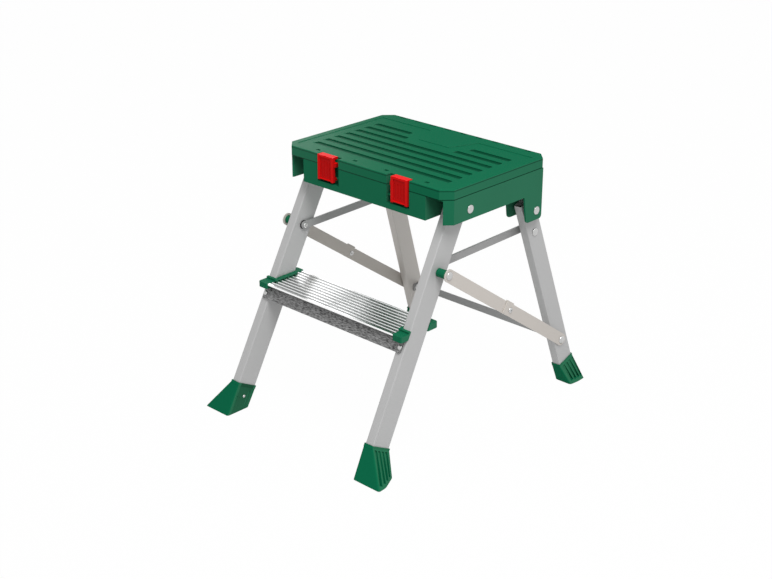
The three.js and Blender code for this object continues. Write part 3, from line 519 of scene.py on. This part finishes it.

# The step tread is an aluminium extrusion: polished round-topped ridges on a bright plate, with a
# brushed grey flange in front that is screwed to the legs. The plate between the ridges is painted darker as
# shade in the grooves, the nose is painted white as a highlight, and a painted shadow lies on the flange
# under the nose.
RIDGE_COUNT = 10
RIDGE_WIDTH = 4.3 * MM
RIDGE_HEIGHT = 0.6 * MM
RIDGE_CROWN_SHARE = 0.4
RIDGE_ROUNDING = 0.45 * MM
RIDGE_WHITE = (0.96, 0.96, 0.96)
RIDGE_POLISH = 0.1
TREAD_PLATE = 3.4 * MM
PLATE_GROOVE_SHADE_GREY = (0.42, 0.43, 0.43)
PLATE_LINES = (12, 700, 700)
PLATE_LINE_SHADE = 0.12
PLATE_ROUGHNESS = 0.24
PLATE_SPREAD = 0.08
NOSE_DEPTH = 4 * MM
NOSE_SHADOW = 2.2 * MM
NOSE_SHADOW_STRENGTH = 0.6
FLANGE_GREY = (0.195, 0.195, 0.195)
FLANGE_DASHES = (170, 600, 600)
FLANGE_DASH_SHADE = 4.5
FLANGE_BLOTCHES = 45.0
FLANGE_BLOTCH_SHADE = 0.5
FLANGE_ROUGHNESS = 0.15
FLANGE_SPREAD = 0.2
FLANGE_DULLNESS = 0.5
LEVEL_WITH = 0.1 * MM
LOOKS_STRAIGHT_UP = 0.9


def select_where(piece, kind, chosen):
    """Selects the vertices, edges or faces that the test picks, and goes into edit mode."""
    alone(piece)
    modes = tuple(kind == each for each in ("vertices", "edges", "polygons"))
    bpy.context.tool_settings.mesh_select_mode = modes
    bpy.ops.object.mode_set(mode="EDIT")
    bpy.ops.mesh.select_all(action="DESELECT")
    bpy.ops.object.mode_set(mode="OBJECT")
    for element in getattr(piece.data, kind):
        element.select = chosen(element)
    bpy.ops.object.mode_set(mode="EDIT")


def back_of_plate():
    """How far back the tread's top reaches."""
    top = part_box("step_tread")[1].z
    vertices = frame["nodes"]["step_tread"].data.vertices
    return max(vertex.co.y for vertex in vertices if vertex.co.z > top - LEVEL_WITH)


def crown_ridges(tread):
    """Narrows each ridge's top, so that the softened ridge is round."""
    low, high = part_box("step_tread")
    pitch = (back_of_plate() - low.y - RIDGE_WIDTH) / (RIDGE_COUNT - 1)
    for index in range(1, RIDGE_COUNT):
        middle = low.y + RIDGE_WIDTH / 2 + index * pitch

        def on_this_top(face):
            near = abs(face.center.y - middle) < RIDGE_WIDTH / 2
            return near and face.normal.z > LOOKS_STRAIGHT_UP and face.center.z > high.z - LEVEL_WITH

        select_where(tread, "polygons", on_this_top)
        bpy.ops.transform.resize(value=(1, RIDGE_CROWN_SHARE, 1), center_override=(0, middle, high.z))
        bpy.ops.object.mode_set(mode="OBJECT")


def extruded_tread():
    """Mill finish: bright ridges and plate, and a dull streaky flange below the plate. The plate is painted
    darker between the ridges as shade in the grooves, the nose is painted white as a highlight, and a
    painted shadow darkens the flange's top under the nose.
    """
    finish = Finish("tread_aluminium")
    place = finish.place()
    low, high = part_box("step_tread")
    height = finish.node("ShaderNodeSeparateXYZ", {}, place, output=2)
    back = finish.node("ShaderNodeSeparateXYZ", {}, place, output=1)
    on_plate = height > high.z - TREAD_PLATE
    on_flange = 1 - on_plate
    # The nose is painted ridge-white: a painted highlight.
    nose_highlight = (back < low.y + NOSE_DEPTH) * on_plate
    on_ridge = nose_highlight.maths("MAXIMUM", nose_highlight, height > high.z - RIDGE_HEIGHT)
    # A painted shadow on the top of the flange, under the nose.
    nose_shadow_band = on_flange * (height > high.z - TREAD_PLATE - NOSE_SHADOW)
    long_lines = finish.node("ShaderNodeMapping", {}, Vector=place, Scale=PLATE_LINES)
    lines = finish.noise(long_lines, 1.0, detail=3.0)
    short_dashes = finish.node("ShaderNodeMapping", {}, Vector=place, Scale=FLANGE_DASHES)
    dashes = finish.noise(short_dashes, 1.0, detail=3.0)
    blotch = finish.noise(place, FLANGE_BLOTCHES)
    mottle = (dashes - 0.5) * FLANGE_DASH_SHADE + (blotch - 0.5) * FLANGE_BLOTCH_SHADE + 1.0
    flange = finish.tint(FLANGE_GREY, mottle - nose_shadow_band * NOSE_SHADOW_STRENGTH)
    # Between the ridges the plate is painted grey: painted shade in the grooves.
    plate = finish.blend(on_ridge, PLATE_GROOVE_SHADE_GREY, RIDGE_WHITE)
    plate = finish.tint(plate, (lines - 0.5) * PLATE_LINE_SHADE + 1.0)
    roughness = lines * PLATE_SPREAD + PLATE_ROUGHNESS - on_ridge * RIDGE_POLISH
    roughness = roughness + on_flange * (dashes * FLANGE_SPREAD + FLANGE_ROUGHNESS)
    bump = finish.node("ShaderNodeBump", {}, Height=lines, Distance=DRAWN_DEPTH, Strength=0.5)
    finish.set(Base_Color=finish.blend(on_flange, plate, flange), Roughness=roughness)
    finish.set(Metallic=1 - on_flange * FLANGE_DULLNESS, Normal=bump)
    return finish


tread = merged_copy("step_tread")
crown_ridges(tread)
soften(tread, RIDGE_ROUNDING, segments=3, angle=25)
stands_for(tread, "step_tread", extruded_tread())

# The tread brackets are green moulded collars that clip over the tread's ends round the legs.
# They are of the same plastic as the platform, and their edges are rounded in the mould.
PLATFORM_GREEN = (0.0075, 0.138, 0.066)
# A paler green painted on the platform's sideways faces: painted light.
PLATFORM_LIT_FLANKS = (0.026, 0.158, 0.086)
BRACKET_EDGE = 0.7 * MM

platform_green = moulded(
    "green_plastic", PLATFORM_GREEN, roughness=0.42, specular=0.03, lit_flanks=PLATFORM_LIT_FLANKS,
)
for side in SIDES:
    dress(f"tread_bracket_{side}", platform_green, BRACKET_EDGE, segments=3)

# The storage tray is one green moulding: a bin with two latch recesses in front, side cheeks that
# hang outside the legs, and clevises at the rear pivots. Its edges are lightly rounded in the mould.
TRAY_EDGE = 0.6 * MM

dress("storage_box", platform_green, TRAY_EDGE)

# The lid is a green moulded octagonal cover with long anti-slip grooves, hinged to the tray behind.
# Its rim is rounded, small drain slots lie along the rear, and plain open and closed marks lie beside
# the latches. The grooves are sloped, and the slots and marks sunk, by one cut.
LID_CHAMFER = 17.8 * MM
LID_RIM_ROUNDING = 1.3 * MM
LID_EDGE = 0.35 * MM
LID_CREASE = 18
ON_OUTLINE = 0.05 * MM
FIELD_DROP = 0.8 * MM
GROOVE_COUNT = 7
GROOVE_FIRST = 48 * MM
GROOVE_PITCH = 26.2 * MM
GROOVE_WIDTH = 8 * MM
GROOVE_DEPTH = 1.8 * MM
GROOVE_INSET = 33 * MM
GROOVE_SLOPE = 7 * MM
GROOVE_LIP = 0.05 * MM
SPLIT_HALVES = (58 * MM, 72 * MM)
SLOT_PLACES = [x * MM for x in (-151, -113.5, -75.5, -38, 0, 38, 75.5, 113.5, 151)]
SLOT_BACK = 266 * MM
SLOT_SIZE = (14 * MM, 4 * MM)
SLOT_DEPTH = 2.2 * MM
MARK_PLACES = [x * MM for x in (-125.5, -33.6, 41.5, 134.5)]
MARK_BACK = 17 * MM
MARK_SIZE = (9 * MM, 6 * MM)
MARK_DEPTH = 2 * MM
SHACKLE_RADIUS = 2.7 * MM
SHACKLE_WIRE = 0.9 * MM
SHACKLE_SHIFT_SHARE = 1.4
SHEEN_MOST = 0.27
SHEEN_REACH = 210 * MM
SEAM_HEIGHT = 1.3 * MM
SEAM_PAINTED_SHADE = 0.7
SUNK_START_SHARE = 0.9
SUNK_PAINTED_SHADE = 0.5
lid_low, lid_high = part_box("lid")
lid_points = [vertex.co for vertex in frame["nodes"]["lid"].data.vertices]
lid_seam = min(point.z for point in lid_points if point.x > lid_high.x - LEVEL_WITH)


def outside_of_lid(place):
    """How far a place lies outside the lid's octagonal outline; 0 on the outline."""
    half = Vector((lid_high.x, (lid_high.y - lid_low.y) / 2))
    middle_y = (lid_high.y + lid_low.y) / 2
    x, y = abs(place.x), abs(place.y - middle_y)
    chamfer = (x + y - half.x - half.y + LID_CHAMFER) / math.sqrt(2)
    return max(x - half.x, y - half.y, chamfer)


def round_lid_rim(lid):
    """Rounds the top edge all round the lid's outline."""
    def on_rim(edge):
        first, second = (lid.data.vertices[index].co for index in edge.vertices)
        level = min(first.z, second.z) > lid_high.z - ON_OUTLINE
        places = (first, second, (first + second) / 2)
        return level and all(abs(outside_of_lid(place)) < ON_OUTLINE for place in places)

    select_where(lid, "edges", on_rim)
    bpy.ops.mesh.bevel(offset=LID_RIM_ROUNDING, segments=4, profile=0.5, clamp_overlap=False)
    bpy.ops.object.mode_set(mode="OBJECT")


def groove_slope(index, start, end):
    """A wedge that turns a groove's front wall into a long slope, a soft sawtooth."""
    level = lid_high.z - FIELD_DROP
    middle = lid_low.y + GROOVE_FIRST + index * GROOVE_PITCH
    front = middle - GROOVE_WIDTH / 2 - GROOVE_SLOPE
    wedge = cutter_block((start, front, level - GROOVE_DEPTH), (end, middle, level + OVERRUN))

    def on_lower_front(vertex):
        return vertex.co.y < middle - GROOVE_WIDTH / 2 and vertex.co.z < level

    select_where(wedge, "vertices", on_lower_front)
    bpy.ops.transform.translate(value=(0, 0, GROOVE_DEPTH + GROOVE_LIP))
    bpy.ops.object.mode_set(mode="OBJECT")
    return wedge


def groove_slopes():
    """One wedge for each whole groove and two for each groove that the rear tongue splits."""
    end = lid_high.x - GROOVE_INSET
    whole = GROOVE_COUNT - len(SPLIT_HALVES)
    wedges = [groove_slope(index, -end, end) for index in range(whole)]
    for index, half in enumerate(SPLIT_HALVES, start=whole):
        wedges += [groove_slope(index, -end, -half), groove_slope(index, half, end)]
    return wedges


def lid_painted_shade_and_sheen():
    """The lid's plastic, with painted shade in its grooves and along its seam, and a coat that grows
    towards its left side: a painted sheen that stands in for a light's reflection there."""
    finish = moulded(
        "lid_plastic", PLATFORM_GREEN, roughness=0.45, specular=0.002, lit_flanks=PLATFORM_LIT_FLANKS,
    )
    place = finish.place()
    across = finish.node("ShaderNodeSeparateXYZ", {}, place, output=0)
    back = finish.node("ShaderNodeSeparateXYZ", {}, place, output=1) - lid_low.y
    # Painted sheen: the coat grows towards the left, in place of a light's reflection.
    sheen_share = 1 - (across + back).soft_step(-SHEEN_REACH, SHEEN_REACH)
    height = finish.node("ShaderNodeSeparateXYZ", {}, place, output=2)
    # Painted shade in the seam between lid and tray, and in the grooves and pockets.
    seam = (height < lid_seam + SEAM_HEIGHT) * (height > lid_seam)
    sunk = (lid_high.z - height).soft_step(FIELD_DROP * SUNK_START_SHARE, FIELD_DROP + GROOVE_DEPTH)
    sunk = sunk * (height > lid_high.z - FIELD_DROP - GROOVE_DEPTH - OVERRUN)
    shade = 1 - seam * SEAM_PAINTED_SHADE - sunk * SUNK_PAINTED_SHADE
    finish.set(Base_Color=finish.tint(finish.base, shade))
    finish.set(Coat_Weight=sheen_share * SHEEN_MOST, Coat_Roughness=0.35)
    return finish


def sunk_block(x, back, size, depth):
    """A cutter for a shallow pocket in the lid's top, centred back from the front edge."""
    y = lid_low.y + back
    low = (x - size[0] / 2, y - size[1] / 2, lid_high.z - depth)
    high = (x + size[0] / 2, y + size[1] / 2, lid_high.z + depth)
    return cutter_block(low, high)


def padlock_cutters(x, open_shift):
    """A plain padlock mark; the shackle of an open one stands to one side."""
    body = sunk_block(x, MARK_BACK, MARK_SIZE, MARK_DEPTH)
    place = (x + open_shift, lid_low.y + MARK_BACK + MARK_SIZE[1] / 2, lid_high.z - MARK_DEPTH)
    bpy.ops.mesh.primitive_torus_add(
        location=place, major_radius=SHACKLE_RADIUS, minor_radius=SHACKLE_WIRE,
        major_segments=20, minor_segments=8,
    )
    return [body, bpy.context.object]


lid = merged_copy("lid")
round_lid_rim(lid)
cutters = groove_slopes() + [sunk_block(x, SLOT_BACK, SLOT_SIZE, SLOT_DEPTH) for x in SLOT_PLACES]
for index, x in enumerate(MARK_PLACES):
    closed = index % 2 == 0
    cutters += padlock_cutters(x, 0 if closed else SHACKLE_RADIUS * SHACKLE_SHIFT_SHARE)
cut_away(lid, cutters)
soften(lid, LID_EDGE, smooth_angle=LID_CREASE)
stands_for(lid, "lid", lid_painted_shade_and_sheen())

# The latches are glossy red mouldings: a face plate with raised rails round a grooved panel, and
# a top flange to push them by. Their edges are rounded enough to catch the light. The rails are painted
# lighter as a highlight, and upward faces are painted a brighter red as light from above.
LATCH_RED = (0.52, 0.007, 0.007)
# A brighter red painted on upward faces: painted light from above.
LATCH_LIT_TOP_RED = (0.82, 0.003, 0.003)
LATCH_GRAIN = 900.0
LATCH_EDGE = 0.45 * MM
RAIL_DEPTH = 0.4 * MM
RAIL_HIGHLIGHT = 0.25

red = moulded(
    "red_plastic", LATCH_RED, roughness=0.25, specular=0.015, grain=LATCH_GRAIN, lit_tops=LATCH_LIT_TOP_RED,
)
back = red.node("ShaderNodeSeparateXYZ", {}, red.place(), output=1)
# The proud rails are painted lighter: a painted highlight.
on_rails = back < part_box("latch_left")[0].y + RAIL_DEPTH
red.set(Base_Color=red.tint(red.base, on_rails * RAIL_HIGHLIGHT + 1.0))
for side in SIDES:
    dress(f"latch_{side}", red, LATCH_EDGE, segments=3)

# The tie links and the rear crossbar are flat zinc-plated steel bars with deburred edges.
# The crossbar's ends are bent forward and riveted to the rear legs.
BAR_GREY = (0.36, 0.36, 0.36)
BAR_EDGE = 0.3 * MM
TIE_SLOPE = math.radians(1)

along_bar = (0, math.pi / 2, 0)
crossbar_steel = drawn_metal("crossbar_steel", BAR_GREY, roughness=0.45, metallic=0.1, turn=along_bar)
dress("rear_crossbar", crossbar_steel, BAR_EDGE)
along_tie = (math.pi / 2 - TIE_SLOPE, 0, 0)
tie_steel = drawn_metal("tie_steel", BAR_GREY, roughness=0.45, metallic=0.1, turn=along_tie)
for side in SIDES:
    dress(f"tie_link_{side}", tie_steel, BAR_EDGE)

# The lock links are pressed steel straps with a pale warm plating. They overlap at the knee, where
# the rear strap is bent outwards past the front one and carries a stop tab.
LINK_WARM = (0.59, 0.55, 0.51)
LINK_EDGE = 0.3 * MM
LINK_SLOPE = math.radians(35)

along_link = (math.pi / 2 + LINK_SLOPE, 0, 0)
link_plating = drawn_metal("link_plating", LINK_WARM, roughness=0.5, metallic=0.1, turn=along_link)
for side in SIDES:
    for end in ("front", "rear"):
        dress(f"lock_link_{end}_{side}", link_plating, LINK_EDGE)

# Spacers, bushes and washers are plain turned rings round the pivots: green plastic between the
# lock links and the legs, black plastic inside the front legs, steel inside the rear legs.
RING_SIDES = 48
BORE_RADIUS = 4.3 * MM
RING_ROUNDING = 0.4 * MM
RING_JOIN = 0.001 * MM
STEEL_WHITE = (0.56, 0.56, 0.555)
WASHER_BLACK = (0.012, 0.012, 0.012)


def turned(node, profile, closed, place):
    """A round piece drawn ring by ring along +X through (along, radius) pairs, then put in place.
    A closed profile ends where it starts, as round a bore; an open one gets its two ends filled."""
    along, radius = profile[0]
    bpy.ops.mesh.primitive_circle_add(vertices=RING_SIDES, radius=radius, rotation=(0, math.pi / 2, 0))
    piece = bpy.context.object
    piece.name = node + "_finished"
    piece.location = (along, 0, 0)
    bpy.ops.object.transform_apply(location=True, rotation=True, scale=True)
    bpy.context.tool_settings.mesh_select_mode = (True, False, False)
    bpy.ops.object.mode_set(mode="EDIT")
    bpy.ops.mesh.select_all(action="SELECT")
    for (start, inner), (end, outer) in zip(profile, profile[1:]):
        bpy.ops.mesh.extrude_region_move(TRANSFORM_OT_translate={"value": (end - start, 0, 0)})
        share = outer / inner
        bpy.ops.transform.resize(value=(1, share, share), center_override=(end, 0, 0))
    bpy.ops.mesh.select_all(action="SELECT")
    if closed:
        bpy.ops.mesh.remove_doubles(threshold=RING_JOIN)
    else:
        bpy.ops.mesh.fill_holes(sides=0)
        bpy.ops.mesh.select_all(action="SELECT")
    bpy.ops.mesh.normals_make_consistent(inside=False)
    bpy.ops.object.mode_set(mode="OBJECT")
    piece.rotation_euler, piece.location = place
    bpy.ops.object.transform_apply(location=True, rotation=True, scale=True)
    smooth(piece)
    return piece


def rounded_rod(length, radius, rounding):
    """The outline of a rod with its two rims rounded."""
    return [
        (0, radius - rounding), (rounding, radius), (length - rounding, radius), (length, radius - rounding),
    ]


def along_x(node, side):
    """The turn and the inner end of a pin or ring that lies outwards along X, its length and radius."""
    low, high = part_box(node)
    inner = low.x if side == "right" else high.x
    turn = (0, 0, 0) if side == "right" else (0, 0, math.pi)
    centre = Vector((inner, (low.y + high.y) / 2, (low.z + high.z) / 2))
    return (turn, centre), high.x - low.x, (high.z - low.z) / 2


bright_steel = drawn_metal(
    "bright_steel", STEEL_WHITE, roughness=0.28, metallic=0.75, turn=(0, math.pi / 2, 0), streak=0.02,
)
washer_black = moulded("black_washer", WASHER_BLACK, roughness=0.5, specular=0.3)
for ring, slot, finish in (
    ("lock_spacer", "green_plastic", platform_green),
    ("tie_bush", "hardware_steel", bright_steel),
    ("tie_washer", "black_washer", washer_black),
):
    for side in SIDES:
        node = f"{ring}_{side}"
        place, length, radius = along_x(node, side)
        wall = rounded_rod(length, radius, RING_ROUNDING)
        profile = [(0, BORE_RADIUS)] + wall + [(length, BORE_RADIUS), (0, BORE_RADIUS)]
        stands_for(turned(node, profile, True, place), node, finish)

# The fasteners are bright plated steel. Each is turned with its own head: domed rivets, flat pivot
# heads with a rounded rim, hollow rivets whose end is rolled over, and screws with a drive recess.
TIP_SHARE = 0.02
DOME_STEPS = 8
dome_turns = [step * math.pi / 2 / DOME_STEPS for step in range(DOME_STEPS)]
DOME_SHARES = [(math.sin(turn), math.cos(turn)) for turn in dome_turns] + [(1, TIP_SHARE)]
FLAT_SHARES = [(0, 1), (0.5, 1), (0.85, 0.96), (1, 0.88), (1, TIP_SHARE)]
ROLLED_SHARES = [
    (0, 1), (0.4, 0.99), (0.8, 0.9), (1, 0.72), (0.9, 0.55), (0.5, 0.42), (0.15, 0.38), (0.15, TIP_SHARE),
]
RECESSED_SHARES = [
    (0, 1), (0.35, 0.95), (0.7, 0.78), (0.95, 0.5), (0.93, 0.34), (0.3, 0.28), (0.3, TIP_SHARE),
]
BOLT_SHANK = 4 * MM
KNEE_SHANK = 3 * MM
FOOT_PIN_SHANK = 1.8 * MM
TAIL_RADIUS = 5.3 * MM
TAIL_HEIGHT = 2.6 * MM
# Each row: name, headed ends, shape of the head, height of the head, radius of the shank.
FASTENERS = (
    ("lock_bolt", "in", ROLLED_SHARES, 2.6 * MM, BOLT_SHANK),
    ("lock_rivet", "out", DOME_SHARES, 3.2 * MM, BOLT_SHANK),
    ("front_pivot", "both", FLAT_SHARES, 1.2 * MM, BOLT_SHANK),
    ("rear_pivot", "both", FLAT_SHARES, 1.2 * MM, BOLT_SHANK),
    ("arm_rivet", "both", DOME_SHARES, 3.2 * MM, BOLT_SHANK),
    ("tie_stud", "out", DOME_SHARES, 2.8 * MM, BOLT_SHANK),
    ("tie_rivet", "in", ROLLED_SHARES, 1.6 * MM, BOLT_SHANK),
    ("knee_rivet", "in", DOME_SHARES, 1.1 * MM, KNEE_SHANK),
    ("knee_screw", "out", RECESSED_SHARES, 2.2 * MM, KNEE_SHANK),
    ("foot_pin_front", "in", DOME_SHARES, 0.8 * MM, FOOT_PIN_SHANK),
    ("foot_pin_rear", "in", DOME_SHARES, 0.8 * MM, FOOT_PIN_SHANK),
)


def headed(shares, height, radius, base):
    """A head's rings in real sizes, from its base outwards."""
    return [(base + along * height, across * radius) for along, across in shares]


def pin_profile(heads, shares, height, radius, shank, length):
    """A pin's rings from its inner end to its outer end. A pin that is headed at both ends has
    its own head outside and a rolled tail inside."""
    outer = headed(shares, height, radius, length - height)
    if heads == "out":
        return [(0, shank * TIP_SHARE), (0, shank), (length - height, shank)] + outer
    if heads == "in":
        inner = [(length - along, across) for along, across in reversed(outer)]
        return inner + [(height, shank), (length, shank), (length, shank * TIP_SHARE)]
    tail = headed(ROLLED_SHARES, TAIL_HEIGHT, TAIL_RADIUS, 0)
    tail = [(TAIL_HEIGHT - along, across) for along, across in reversed(tail)]
    return tail + [(TAIL_HEIGHT, shank), (length - height, shank)] + outer


for fastener, heads, shares, height, shank in FASTENERS:
    for side in SIDES:
        node = f"{fastener}_{side}"
        place, length, radius = along_x(node, side)
        profile = pin_profile(heads, shares, height, radius, shank, length)
        stands_for(turned(node, profile, False, place), node, bright_steel)

# The tread screws are of the same bright steel, with domed heads.
# Each stands square to the front face of its leg, through the tread's flange.
SCREW_HEAD = 4.4 * MM
SCREW_HEAD_HEIGHT = 2.2 * MM
SCREW_SHANK = 2 * MM
outward = -across_leg(FRONT_LEAN)
upward = Vector((0, math.sin(FRONT_LEAN), math.cos(FRONT_LEAN)))
for side in SIDES:
    node = f"tread_screw_{side}"
    low, high = reach(node, outward)
    across = sum(reach(node, Vector((1, 0, 0)))) / 2
    centre = outward * low + upward * sum(reach(node, upward)) / 2 + Vector((across, 0, 0))
    turn = outward.to_track_quat("X", "Z").to_euler()
    profile = pin_profile("out", DOME_SHARES, SCREW_HEAD_HEIGHT, SCREW_HEAD, SCREW_SHANK, high - low)
    screw = turned(node, profile, False, (turn, centre))
    stands_for(screw, node, bright_steel)

# The lid's hinge pins are steel rods, hidden in the knuckles between lid and tray.
# Their ends are faintly chamfered.
PIN_CHAMFER = 0.3 * MM
for which in ("left", "middle", "right"):
    node = f"lid_hinge_pin_{which}"
    place, length, radius = along_x(node, "right")
    tip = radius * TIP_SHARE
    profile = [(0, tip)] + rounded_rod(length, radius, PIN_CHAMFER) + [(length, tip)]
    stands_for(turned(node, profile, False, place), node, bright_steel)

low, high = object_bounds()
